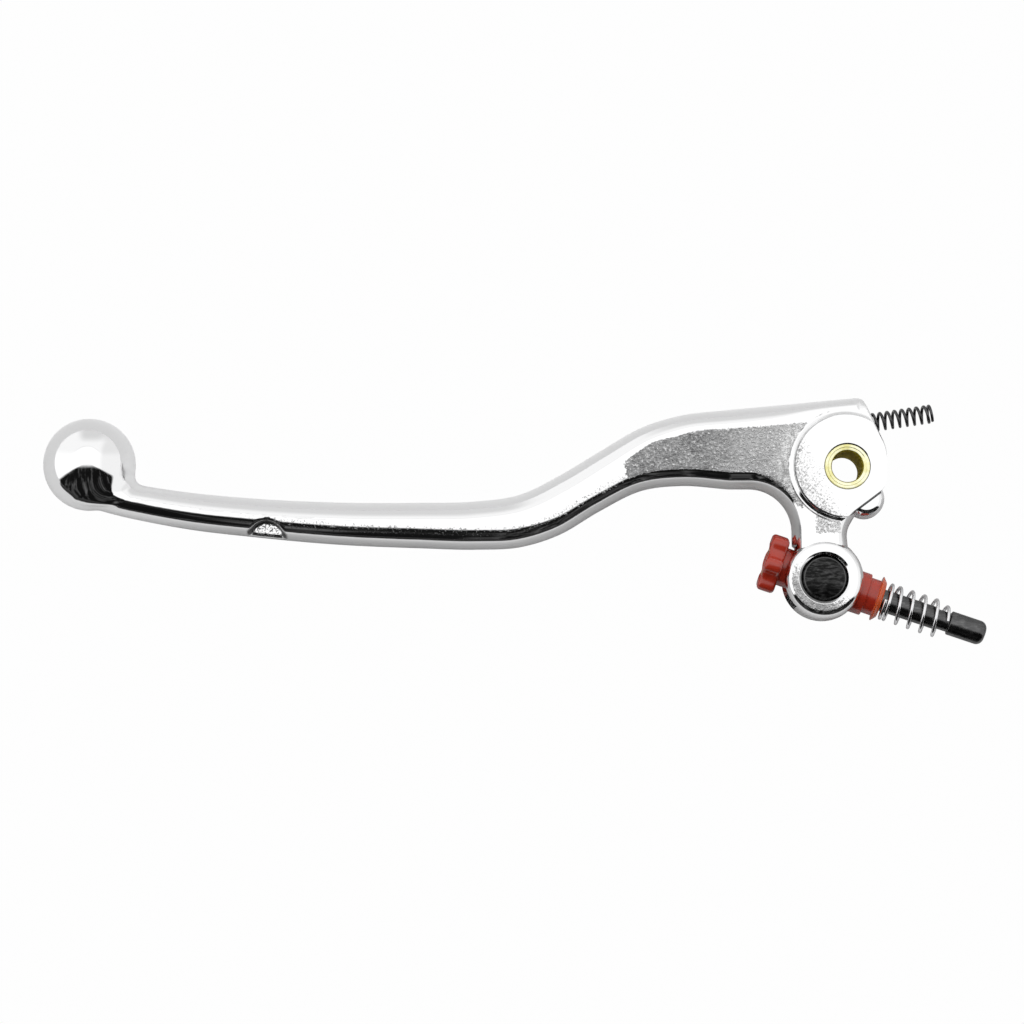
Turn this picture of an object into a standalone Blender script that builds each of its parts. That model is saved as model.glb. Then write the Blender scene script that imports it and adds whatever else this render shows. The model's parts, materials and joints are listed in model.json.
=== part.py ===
"""A motorcycle clutch lever with its push rod, adjuster and springs.

Frame, in metres: the origin lies on the pivot axis at half the lever's height, +Z runs along
the pivot axis, +X points from the ball end towards the push rod's nose, and +Y is the finger side.
"""

import math

import bmesh
import bpy
from mathutils import Matrix, Vector

MM = 0.001

# Pivot boss and bush
BOSS_R = 10.7 * MM
BOSS_HALF = 7.0 * MM
HEAD_HALF = 6.05 * MM
BUSH_OUTER_R = 4.65 * MM
BUSH_INNER_R = 3.2 * MM
BUSH_HALF = 6.7 * MM
BUSH_CHAMFER = 0.4 * MM
BOSS_BORE_R = 4.95 * MM

# Ball end
BALL_CENTRE = (-155.9 * MM, 1.06 * MM, 0.0)
BALL_R = 9.5 * MM

# Barrel eye, its slot and the barrel
EYE_CENTRE = (-4.75 * MM, -22.85 * MM, 0.0)
EYE_R = 8.25 * MM
EYE_HALF = 6.6 * MM
EYE_BORE_R = 5.15 * MM
EYE_CHAMFER = 0.35 * MM
EYE_RIM_R = 6.6 * MM
EYE_RIM_DROP = 3.7 * MM
SLOT_HALF_HEIGHT = 4.8 * MM
SLOT_HALF_WIDTH = 4.8 * MM
SLOT_REACH = 12.0 * MM
SWIVEL_DEG = 28.0
BARREL_R = 4.85 * MM
BARREL_HALF = 6.1 * MM
BARREL_CHAMFER = 0.4 * MM

# Push rod: every station below is measured along its axis from the barrel's centre
ROD_SLOPE_DEG = -18.7
THREAD_R = 2.5 * MM
THREAD_START = -12.3 * MM
HEX_FLATS = 5.4 * MM
HEX_START = 8.2 * MM
HEX_END = 24.4 * MM
GROOVE_R = 2.0 * MM
GROOVE_END = 27.4 * MM
NOSE_R = 2.5 * MM
NOSE_END = 35.05 * MM
NOSE_ROUND = 1.5 * MM
ROD_HOLE_R = 2.8 * MM

# Guide collar
COLLAR_R = 4.4 * MM
COLLAR_SHOULDER = 9.4 * MM
BOOT_GROOVE_R = 3.75 * MM
LIP_R = 4.7 * MM
LIP_START = 11.7 * MM
COLLAR_END = 12.7 * MM
COLLAR_END_R = 3.85 * MM
COLLAR_HEX_FLATS = 5.7 * MM
SEAT_GAP = 0.3 * MM

# Star knob and its threaded insert
KNOB_MEAN_R = 5.6 * MM
KNOB_LOBE = 0.7 * MM
KNOB_LOBES = 6
KNOB_NEAR = -8.9 * MM
KNOB_FAR = -12.6 * MM
KNOB_ROUND = 0.8 * MM
KNOB_LOBE_TURN_DEG = 10.0
HUB_R = 4.0 * MM
INSERT_R = 3.8 * MM
INSERT_NEAR = -9.4 * MM
INSERT_FAR = -12.6 * MM
INSERT_HOLE_R = 2.7 * MM
POCKET_R = 4.0 * MM

# Push-rod spring
ROD_SPRING_WIRE_R = 0.35 * MM
ROD_SPRING_R = 3.65 * MM
ROD_SPRING_END_R = 2.55 * MM
ROD_SPRING_START = 13.35 * MM
ROD_SPRING_END = 26.8 * MM
ROD_SPRING_CLOSED_PITCH = 0.8 * MM
ROD_SPRING_CLOSED_TURNS = 1.25
ROD_SPRING_OPEN_TURNS = 4.75

# Return spring, in a blind hole in the end face
RETURN_MOUTH = (7.2 * MM, 10.05 * MM, 0.0)
RETURN_SLOPE_DEG = 8.5
RETURN_WIRE_R = 0.29 * MM
RETURN_R = 1.71 * MM
RETURN_PITCH = 1.57 * MM
RETURN_VISIBLE = 10.9 * MM
RETURN_HOLE_DEPTH = 6.0 * MM
RETURN_HOLE_R = 2.35 * MM

# Break-away notch across the blade's hand side
NOTCH_CENTRE = (-119.0 * MM, -14.3 * MM, 0.0)
NOTCH_R = 3.6 * MM

# Stop lug beside the boss
LUG_CENTRE = (4.05 * MM, -6.2 * MM, 0.0)
LUG_R = 3.9 * MM
LUG_HALF = 4.0 * MM

# Blade: place along X, finger edge, hand edge, half height and squareness of the section
BLADE_STATIONS = (
    (-155.9, -1.0, -8.3, 5.2, 2.2),
    (-149.5, -2.6, -9.65, 5.4, 2.2),
    (-144.2, -3.45, -10.7, 5.6, 2.3),
    (-136.1, -4.65, -12.2, 5.8, 2.4),
    (-122.0, -6.0, -13.9, 6.1, 2.5),
    (-104.0, -6.85, -15.5, 6.3, 2.5),
    (-88.0, -6.9, -16.2, 6.3, 2.6),
    (-76.0, -6.6, -16.5, 6.3, 2.7),
    (-67.0, -5.2, -16.0, 6.2, 2.8),
    (-58.8, -1.2, -13.4, 6.1, 3.0),
    (-50.5, 3.8, -8.5, 6.0, 3.3),
    (-42.2, 8.6, -4.4, 5.9, 3.8),
    (-34.0, 11.2, -3.3, 5.95, 4.8),
    (-24.0, 12.4, -4.0, 6.0, 6.0),
    (-10.0, 13.9, -4.2, 6.0, 6.0),
)
BLADE_STEP = 3.6 * MM
BLADE_SIDES = 24

# Head plate: corners in order, each with its own corner radius, all in millimetres
HEAD_CORNERS = (
    (-21.0, -4.0, 0.0),
    (-11.1, -4.0, 8.8),
    (-11.0, -18.5, 0.0),
    (0.9, -18.5, 0.0),
    (0.1, -12.8, 5.0),
    (2.6, -8.5, 1.2),
    (8.6, -4.2, 1.6),
    (9.1, 3.8, 8.0),
    (3.3, 14.9, 1.8),
    (-21.0, 12.7, 0.0),
)
HEAD_ROUND = 1.5 * MM

# The raised boss disc stops short of the head's end face at these corners
BOSS_LIMIT_CORNERS = (
    (-14.0, -14.0, 0.0),
    (-2.8, -12.1, 0.0),
    (8.15, -4.0, 1.6),
    (8.7, 3.7, 8.0),
    (3.6, 13.6, 0.0),
    (-14.0, 14.0, 0.0),
)

ROD_DIRECTION = Vector(
    (math.cos(math.radians(ROD_SLOPE_DEG)), math.sin(math.radians(ROD_SLOPE_DEG)), 0.0)
)
RETURN_DIRECTION = Vector(
    (math.cos(math.radians(RETURN_SLOPE_DEG)), math.sin(math.radians(RETURN_SLOPE_DEG)), 0.0)
)


# ---------------------------------------------------------------- scene helpers


def clear_scene():
    """Remove whatever the file starts with."""
    for obj in list(bpy.data.objects):
        bpy.data.objects.remove(obj, do_unlink=True)


def new_collection(name):
    collection = bpy.data.collections.new(name)
    bpy.context.scene.collection.children.link(collection)
    return collection


def new_material(name, colour, metallic, roughness):
    material = bpy.data.materials.new(name)
    material.use_nodes = True
    shader = material.node_tree.nodes["Principled BSDF"]
    shader.inputs["Base Color"].default_value = (*colour, 1.0)
    shader.inputs["Metallic"].default_value = metallic
    shader.inputs["Roughness"].default_value = roughness
    return material


def frame_along(origin, direction):
    """A matrix whose local Z runs along direction and whose local X is the world's +Z."""
    z_axis = Vector(direction).normalized()
    x_axis = Vector((0.0, 0.0, 1.0))
    y_axis = z_axis.cross(x_axis)
    matrix = Matrix((x_axis, y_axis, z_axis)).transposed().to_4x4()
    matrix.translation = Vector(origin)
    return matrix


def new_empty(name, matrix, collection):
    """An empty that holds a joint's place and axis."""
    empty = bpy.data.objects.new(name, None)
    empty.empty_display_size = 5.0 * MM
    empty.matrix_world = matrix
    collection.objects.link(empty)
    return empty


def place(obj, parent):
    """Put an object built in its parent's own frame under that parent."""
    obj.parent = parent


def as_object(name, mesh, collection, material=None):
    obj = bpy.data.objects.new(name, mesh)
    collection.objects.link(obj)
    if material:
        mesh.materials.append(material)
    mesh.shade_smooth()
    mesh.set_sharp_from_angle(angle=math.radians(35.0))
    return obj


def boolean(target, other, operation):
    modifier = target.modifiers.new(operation.title() + " " + other.name, "BOOLEAN")
    modifier.operation = operation
    modifier.object = other
    modifier.solver = "EXACT"


def boolean_group(target, name, others, operation):
    """One Boolean with several solids at once, which leaves no thin faces between steps."""
    group = bpy.data.collections.new(name)
    for other in others:
        group.objects.link(other)
    modifier = target.modifiers.new(operation.title() + " " + name, "BOOLEAN")
    modifier.operation = operation
    modifier.operand_type = "COLLECTION"
    modifier.collection = group
    modifier.solver = "EXACT"


def as_helper(obj):
    obj.hide_render = True
    obj.display_type = "WIRE"
    return obj


# ---------------------------------------------------------------- shape helpers


def cylinder_mesh(name, radius, low, high, segments=48):
    """A closed cylinder along Z from low to high."""
    shape = bmesh.new()
    bmesh.ops.create_cone(
        shape,
        cap_ends=True,
        segments=segments,
        radius1=radius,
        radius2=radius,
        depth=high - low,
        matrix=Matrix.Translation((0.0, 0.0, (low + high) / 2)),
    )
    mesh = bpy.data.meshes.new(name)
    shape.to_mesh(mesh)
    shape.free()
    return mesh


def turned_mesh(name, profile, segments=48):
    """Turn a closed (radius, height) profile about Z; points on the axis make it solid."""
    shape = bmesh.new()
    corners = [shape.verts.new((radius, 0.0, height)) for radius, height in profile]
    for first, second in zip(corners, corners[1:], strict=False):
        shape.edges.new((first, second))
    if profile[0][0] > 0:
        shape.edges.new((corners[-1], corners[0]))
    bmesh.ops.spin(
        shape,
        geom=shape.verts[:] + shape.edges[:],
        cent=(0.0, 0.0, 0.0),
        axis=(0.0, 0.0, 1.0),
        angle=2 * math.pi,
        steps=segments,
        use_duplicate=False,
    )
    bmesh.ops.remove_doubles(shape, verts=shape.verts[:], dist=1e-6)
    bmesh.ops.recalc_face_normals(shape, faces=shape.faces[:])
    mesh = bpy.data.meshes.new(name)
    shape.to_mesh(mesh)
    shape.free()
    return mesh


def prism_mesh(name, outline, low, high):
    """Extrude a closed outline in the XY plane from low to high along Z."""
    curve = bpy.data.curves.new(name, "CURVE")
    curve.dimensions = "2D"
    curve.fill_mode = "BOTH"
    curve.extrude = (high - low) / 2
    spline = curve.splines.new("POLY")
    spline.points.add(len(outline) - 1)
    for point, (x, y) in zip(spline.points, outline, strict=True):
        point.co = (x, y, 0.0, 1.0)
    spline.use_cyclic_u = True
    holder = bpy.data.objects.new(name, curve)
    bpy.context.scene.collection.objects.link(holder)
    graph = bpy.context.evaluated_depsgraph_get()
    mesh = bpy.data.meshes.new_from_object(holder.evaluated_get(graph))
    bpy.data.objects.remove(holder, do_unlink=True)
    shape = bmesh.new()
    shape.from_mesh(mesh)
    bmesh.ops.remove_doubles(shape, verts=shape.verts[:], dist=1e-6)
    bmesh.ops.translate(shape, verts=shape.verts[:], vec=(0.0, 0.0, (low + high) / 2))
    bmesh.ops.recalc_face_normals(shape, faces=shape.faces[:])
    shape.to_mesh(mesh)
    shape.free()
    mesh.name = name
    return mesh


def wire_mesh(name, points, wire_radius):
    """A round wire along a list of points, with closed ends."""
    curve = bpy.data.curves.new(name, "CURVE")
    curve.dimensions = "3D"
    curve.bevel_depth = wire_radius
    curve.bevel_resolution = 2
    curve.use_fill_caps = True
    spline = curve.splines.new("POLY")
    spline.points.add(len(points) - 1)
    for point, place_at in zip(spline.points, points, strict=True):
        point.co = (*place_at, 1.0)
    holder = bpy.data.objects.new(name, curve)
    bpy.context.scene.collection.objects.link(holder)
    graph = bpy.context.evaluated_depsgraph_get()
    mesh = bpy.data.meshes.new_from_object(holder.evaluated_get(graph))
    bpy.data.objects.remove(holder, do_unlink=True)
    shape = bmesh.new()
    shape.from_mesh(mesh)
    bmesh.ops.remove_doubles(shape, verts=shape.verts[:], dist=1e-6)
    bmesh.ops.recalc_face_normals(shape, faces=shape.faces[:])
    shape.to_mesh(mesh)
    shape.free()
    mesh.name = name
    return mesh


def rounded_outline(corners, steps=5):
    """Turn (x, y, radius) corners in millimetres into points in metres with arcs at the corners."""
    points = []
    for index, (x, y, radius) in enumerate(corners):
        corner = Vector((x, y))
        before = (Vector(corners[index - 1][:2]) - corner).normalized()
        after = (Vector(corners[(index + 1) % len(corners)][:2]) - corner).normalized()
        if radius == 0:
            points.append(corner * MM)
            continue
        half = before.angle(after) / 2
        start = corner + before * radius / math.tan(half)
        end = corner + after * radius / math.tan(half)
        centre = corner + (before + after).normalized() * radius / math.sin(half)
        first = start - centre
        turn = first.angle_signed(end - centre)
        for step in range(steps + 1):
            spoke = first.copy()
            spoke.rotate(Matrix.Rotation(-turn * step / steps, 2))
            points.append((centre + spoke) * MM)
    return points


def smooth_value(places, values, at):
    """A smooth curve through values at uneven places, read at one place."""
    last = len(places) - 1
    index = max(i for i in range(last) if places[i] <= at or i == 0)

    def slope(i):
        low, high = max(i - 1, 0), min(i + 1, last)
        return (values[high] - values[low]) / (places[high] - places[low])

    width = places[index + 1] - places[index]
    t = (at - places[index]) / width
    start, end = values[index], values[index + 1]
    return (
        (2 * t**3 - 3 * t**2 + 1) * start
        + (t**3 - 2 * t**2 + t) * width * slope(index)
        + (3 * t**2 - 2 * t**3) * end
        + (t**3 - t**2) * width * slope(index + 1)
    )


def coil_points(radius_at, height_at, turns, steps_per_turn, start_angle=0.0):
    """Points of a coil about Z whose radius and height follow the number of turns made."""
    count = round(turns * steps_per_turn)
    points = []
    for step in range(count + 1):
        turn = turns * step / count
        angle = start_angle + 2 * math.pi * turn
        radius = radius_at(turn)
        points.append((radius * math.cos(angle), radius * math.sin(angle), height_at(turn)))
    return points


# ---------------------------------------------------------------- the lever


def blade_mesh():
    """The blade and web: rounded sections joined one to the next."""
    places, finger, hand, half_heights, squareness = zip(*BLADE_STATIONS, strict=True)
    length = (places[-1] - places[0]) * MM
    count = round(length / BLADE_STEP)
    shape = bmesh.new()
    rings = []
    for step in range(count + 1):
        at = places[0] + (places[-1] - places[0]) * step / count
        top = smooth_value(places, finger, at) * MM
        bottom = smooth_value(places, hand, at) * MM
        half_height = smooth_value(places, half_heights, at) * MM
        power = 2 / smooth_value(places, squareness, at)
        ring = []
        for side in range(BLADE_SIDES):
            angle = 2 * math.pi * side / BLADE_SIDES
            across = math.copysign(abs(math.cos(angle)) ** power, math.cos(angle))
            up = math.copysign(abs(math.sin(angle)) ** power, math.sin(angle))
            y = (top + bottom) / 2 + (top - bottom) / 2 * across
            ring.append(shape.verts.new((at * MM, y, half_height * up)))
        rings.append(ring)
    for first, second in zip(rings, rings[1:], strict=False):
        for side in range(BLADE_SIDES):
            after = (side + 1) % BLADE_SIDES
            shape.faces.new((first[side], first[after], second[after], second[side]))
    shape.faces.new(rings[0])
    shape.faces.new(reversed(rings[-1]))
    bmesh.ops.recalc_face_normals(shape, faces=shape.faces[:])
    mesh = bpy.data.meshes.new("blade")
    shape.to_mesh(mesh)
    shape.free()
    return mesh


def ball_mesh():
    shape = bmesh.new()
    bmesh.ops.create_uvsphere(
        shape,
        u_segments=24,
        v_segments=16,
        radius=BALL_R,
        matrix=Matrix.Translation(BALL_CENTRE),
    )
    mesh = bpy.data.meshes.new("ball")
    shape.to_mesh(mesh)
    shape.free()
    return mesh


def slot_outline(direction_low_deg, direction_high_deg):
    """The space that a straight part through the eye sweeps on one side of the barrel."""
    low = math.radians(direction_low_deg)
    high = math.radians(direction_high_deg)
    centre = Vector(EYE_CENTRE[:2])
    side_low = Vector((math.sin(low), -math.cos(low))) * SLOT_HALF_WIDTH
    side_high = Vector((-math.sin(high), math.cos(high))) * SLOT_HALF_WIDTH
    reach_low = Vector((math.cos(low), math.sin(low))) * SLOT_REACH
    reach_high = Vector((math.cos(high), math.sin(high))) * SLOT_REACH
    return [
        centre + side_low,
        centre + side_low + reach_low,
        centre + side_high + reach_high,
        centre + side_high,
    ]


def eye_profile():
    """Half section of the barrel eye, with oval rims."""
    profile = [(0.0, EYE_HALF)]
    for step in range(5):
        angle = math.radians(90.0 * step / 4)
        radius = EYE_RIM_R + (EYE_R - EYE_RIM_R) * math.sin(angle)
        profile.append((radius, EYE_HALF - EYE_RIM_DROP + EYE_RIM_DROP * math.cos(angle)))
    return profile + [(radius, -height) for radius, height in reversed(profile)]


def eye_opening_profile():
    """Half section of what is bored out of the eye: the bore and a chamfer at each end."""
    upper = [
        (0.0, EYE_HALF + EYE_CHAMFER),
        (EYE_BORE_R + 2 * EYE_CHAMFER, EYE_HALF + EYE_CHAMFER),
        (EYE_BORE_R, EYE_HALF - EYE_CHAMFER),
    ]
    return upper + [(radius, -height) for radius, height in reversed(upper)]


def make_lever(parts, helpers, material):
    lever = as_object("lever", blade_mesh(), parts, material)

    head_outline = rounded_outline(HEAD_CORNERS)
    head = as_object("head", prism_mesh("head", head_outline, -HEAD_HALF, HEAD_HALF), helpers)
    rounding = head.modifiers.new("Round edges", "BEVEL")
    rounding.width = HEAD_ROUND
    rounding.segments = 2
    rounding.limit_method = "ANGLE"
    rounding.angle_limit = math.radians(60.0)

    boss = as_object("boss", cylinder_mesh("boss", BOSS_R, -BOSS_HALF, BOSS_HALF, 64), helpers)
    boss_limit = as_object(
        "boss_limit",
        prism_mesh("boss_limit", rounded_outline(BOSS_LIMIT_CORNERS), -2 * BOSS_HALF, 2 * BOSS_HALF),
        helpers,
    )
    boolean(boss, boss_limit, "INTERSECT")

    eye = as_object("eye", turned_mesh("eye", eye_profile()), helpers)
    eye.location = EYE_CENTRE
    ball = as_object("ball", ball_mesh(), helpers)
    lug = as_object("lug", cylinder_mesh("lug", LUG_R, -LUG_HALF, LUG_HALF, 32), helpers)
    lug.location = LUG_CENTRE

    pivot_bore = as_object(
        "pivot_bore", cylinder_mesh("pivot_bore", BOSS_BORE_R, -2 * BOSS_HALF, 2 * BOSS_HALF, 64), helpers
    )
    eye_opening = as_object("eye_opening", turned_mesh("eye_opening", eye_opening_profile(), 60), helpers)
    eye_opening.location = EYE_CENTRE

    slots = []
    for name, base in (("rod_slot", 0.0), ("knob_slot", 180.0)):
        low = base + ROD_SLOPE_DEG
        outline = slot_outline(low, low + SWIVEL_DEG)
        slots.append(
            as_object(name, prism_mesh(name, outline, -SLOT_HALF_HEIGHT, SLOT_HALF_HEIGHT), helpers)
        )

    spring_hole = as_object(
        "spring_hole", cylinder_mesh("spring_hole", RETURN_HOLE_R, -RETURN_HOLE_DEPTH, BOSS_R, 24), helpers
    )
    spring_hole.matrix_world = frame_along(RETURN_MOUTH, RETURN_DIRECTION)
    notch = as_object("notch", cylinder_mesh("notch", NOTCH_R, -BOSS_HALF * 2, BOSS_HALF * 2, 24), helpers)
    notch.location = NOTCH_CENTRE

    boolean_group(lever, "Forged solids", (head, boss, eye, ball, lug), "UNION")
    for cutter in (pivot_bore, eye_opening, *slots, spring_hole, notch):
        boolean(lever, cutter, "DIFFERENCE")
    return lever


def make_bush(parts, material):
    profile = [
        (BUSH_OUTER_R, -BUSH_HALF),
        (BUSH_OUTER_R, BUSH_HALF),
        (BUSH_INNER_R + BUSH_CHAMFER, BUSH_HALF),
        (BUSH_INNER_R, BUSH_HALF - BUSH_CHAMFER),
        (BUSH_INNER_R, -BUSH_HALF + BUSH_CHAMFER),
        (BUSH_INNER_R + BUSH_CHAMFER, -BUSH_HALF),
    ]
    return as_object("pivot_bush", turned_mesh("pivot_bush", profile), parts, material)


# ---------------------------------------------------------------- push rod group


def make_barrel(parts, helpers, material, rod_frame):
    profile = [
        (0.0, BARREL_HALF),
        (BARREL_R - BARREL_CHAMFER, BARREL_HALF),
        (BARREL_R, BARREL_HALF - BARREL_CHAMFER),
        (BARREL_R, -BARREL_HALF + BARREL_CHAMFER),
        (BARREL_R - BARREL_CHAMFER, -BARREL_HALF),
        (0.0, -BARREL_HALF),
    ]
    barrel = as_object("swivel_barrel", turned_mesh("swivel_barrel", profile), parts, material)
    barrel.location = EYE_CENTRE
    hole = as_object("rod_hole", cylinder_mesh("rod_hole", ROD_HOLE_R, -2 * EYE_R, 2 * EYE_R, 32), helpers)
    place(hole, rod_frame)
    boolean(barrel, hole, "DIFFERENCE")
    return barrel


def make_collar(parts, helpers, material, rod_frame):
    profile = [
        (0.0, COLLAR_END),
        (COLLAR_END_R, COLLAR_END),
        (LIP_R, LIP_START),
        (BOOT_GROOVE_R, LIP_START),
        (BOOT_GROOVE_R, COLLAR_SHOULDER),
        (COLLAR_R, COLLAR_SHOULDER),
        (COLLAR_R, 0.0),
        (0.0, 0.0),
    ]
    collar = as_object("guide_collar", turned_mesh("guide_collar", profile), parts, material)
    place(collar, rod_frame)
    saddle = as_object(
        "saddle", cylinder_mesh("saddle", BARREL_R + SEAT_GAP, -2 * EYE_HALF, 2 * EYE_HALF, 64), helpers
    )
    saddle.location = EYE_CENTRE
    corner_r = COLLAR_HEX_FLATS / math.sqrt(3)
    hex_bore = as_object("hex_bore", cylinder_mesh("hex_bore", corner_r, 0.0, 2 * EYE_R, 6), helpers)
    place(hex_bore, rod_frame)
    boolean(collar, saddle, "DIFFERENCE")
    boolean(collar, hex_bore, "DIFFERENCE")
    return collar


def star_outline():
    """A round outline with shallow lobes."""
    points = []
    count = KNOB_LOBES * 8
    for step in range(count):
        angle = 2 * math.pi * step / count
        phase = KNOB_LOBES * (angle - math.radians(KNOB_LOBE_TURN_DEG))
        radius = KNOB_MEAN_R + KNOB_LOBE * math.cos(phase)
        points.append((radius * math.cos(angle), radius * math.sin(angle)))
    return points


def make_knob(parts, helpers, material, knob_frame):
    star = prism_mesh("adjuster_knob", star_outline(), KNOB_FAR, KNOB_NEAR)
    knob = as_object("adjuster_knob", star, parts, material)
    place(knob, knob_frame)
    rounding = knob.modifiers.new("Round edges", "BEVEL")
    rounding.width = KNOB_ROUND
    rounding.segments = 2
    rounding.limit_method = "ANGLE"
    rounding.angle_limit = math.radians(60.0)
    hub_near = -BARREL_R - SEAT_GAP
    hub = as_object("hub", cylinder_mesh("hub", HUB_R, (KNOB_NEAR + KNOB_FAR) / 2, hub_near, 40), helpers)
    place(hub, knob_frame)
    thread_hole = as_object(
        "thread_hole", cylinder_mesh("thread_hole", ROD_HOLE_R, 2 * KNOB_FAR, 0.0, 32), helpers
    )
    place(thread_hole, knob_frame)
    pocket_near = INSERT_NEAR + SEAT_GAP
    pocket = as_object("pocket", cylinder_mesh("pocket", POCKET_R, 2 * KNOB_FAR, pocket_near, 40), helpers)
    place(pocket, knob_frame)
    boolean(knob, hub, "UNION")
    boolean(knob, pocket, "DIFFERENCE")
    boolean(knob, thread_hole, "DIFFERENCE")
    return knob


def make_insert(parts, material, knob_frame):
    profile = [
        (INSERT_R, INSERT_FAR),
        (INSERT_R, INSERT_NEAR),
        (INSERT_HOLE_R, INSERT_NEAR),
        (INSERT_HOLE_R, INSERT_FAR),
    ]
    insert = as_object("knob_insert", turned_mesh("knob_insert", profile, 40), parts, material)
    place(insert, knob_frame)
    return insert


def make_rod(parts, helpers, material, rod_frame):
    profile = [(0.0, NOSE_END)]
    for step in range(5):
        angle = math.radians(90.0 * step / 4)
        profile.append(
            (
                NOSE_R - NOSE_ROUND + NOSE_ROUND * math.sin(angle),
                NOSE_END - NOSE_ROUND + NOSE_ROUND * math.cos(angle),
            )
        )
    profile += [
        (NOSE_R, GROOVE_END),
        (GROOVE_R, GROOVE_END),
        (GROOVE_R, HEX_END),
        (THREAD_R - SEAT_GAP, HEX_END),
        (THREAD_R - SEAT_GAP, HEX_START + SEAT_GAP),
        (THREAD_R, HEX_START),
        (THREAD_R, THREAD_START + SEAT_GAP),
        (THREAD_R - SEAT_GAP, THREAD_START),
        (0.0, THREAD_START),
    ]
    rod = as_object("push_rod", turned_mesh("push_rod", profile, 32), parts, material)
    place(rod, rod_frame)
    corner_r = HEX_FLATS / math.sqrt(3)
    hexagon = as_object("hexagon", cylinder_mesh("hexagon", corner_r, HEX_START, HEX_END, 6), helpers)
    place(hexagon, rod_frame)
    boolean(rod, hexagon, "UNION")
    return rod


def make_rod_spring(parts, material, rod_frame):
    turns = ROD_SPRING_CLOSED_TURNS + ROD_SPRING_OPEN_TURNS
    closed_height = ROD_SPRING_CLOSED_TURNS * ROD_SPRING_CLOSED_PITCH
    open_pitch = (ROD_SPRING_END - ROD_SPRING_START - closed_height) / ROD_SPRING_OPEN_TURNS

    def height_at(turn):
        closed = min(turn, ROD_SPRING_CLOSED_TURNS) * ROD_SPRING_CLOSED_PITCH
        return ROD_SPRING_START + closed + max(turn - ROD_SPRING_CLOSED_TURNS, 0.0) * open_pitch

    def radius_at(turn):
        closing = max(turn - turns + 1.0, 0.0)
        return ROD_SPRING_R - (ROD_SPRING_R - ROD_SPRING_END_R) * closing**2

    points = coil_points(radius_at, height_at, turns, 16)
    spring = as_object(
        "push_rod_spring", wire_mesh("push_rod_spring", points, ROD_SPRING_WIRE_R), parts, material
    )
    place(spring, rod_frame)
    return spring


def make_return_spring(parts, material, return_frame):
    low = -RETURN_HOLE_DEPTH + SEAT_GAP + RETURN_WIRE_R
    turns = (RETURN_VISIBLE - low) / RETURN_PITCH
    points = coil_points(lambda turn: RETURN_R, lambda turn: low + turn * RETURN_PITCH, turns, 12)
    spring = as_object(
        "return_spring", wire_mesh("return_spring", points, RETURN_WIRE_R), parts, material
    )
    place(spring, return_frame)
    return spring


def main():
    clear_scene()
    parts = new_collection("Clutch lever")
    helpers = new_collection("Cutters")

    polished = new_material("Polished aluminium", (0.86, 0.86, 0.87), 1.0, 0.12)
    brass = new_material("Brass", (0.80, 0.72, 0.35), 1.0, 0.25)
    black_steel = new_material("Black steel", (0.03, 0.03, 0.03), 0.6, 0.45)
    red_plastic = new_material("Red plastic", (0.55, 0.05, 0.02), 0.0, 0.4)
    spring_steel = new_material("Bright spring steel", (0.75, 0.75, 0.76), 1.0, 0.2)
    dark_spring = new_material("Dark spring steel", (0.12, 0.12, 0.12), 0.9, 0.3)

    rod_frame = new_empty("rod_frame", frame_along(EYE_CENTRE, ROD_DIRECTION), parts)
    return_frame = new_empty("return_frame", frame_along(RETURN_MOUTH, RETURN_DIRECTION), parts)

    make_lever(parts, helpers, polished)
    make_bush(parts, brass)
    make_barrel(parts, helpers, black_steel, rod_frame)
    make_collar(parts, helpers, red_plastic, rod_frame)
    make_knob(parts, helpers, red_plastic, rod_frame)
    make_insert(parts, brass, rod_frame)
    make_rod(parts, helpers, black_steel, rod_frame)
    make_rod_spring(parts, spring_steel, rod_frame)
    make_return_spring(parts, dark_spring, return_frame)

    for helper in helpers.objects:
        as_helper(helper)


main()
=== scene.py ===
"""Looks of a motorcycle clutch lever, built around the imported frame.

Lengths inside the shape functions are in millimetres, and meshes are made in metres.
"""

import json
import math

import bmesh
import bpy
import numpy as np
from mathutils import Matrix, Vector, kdtree


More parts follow.
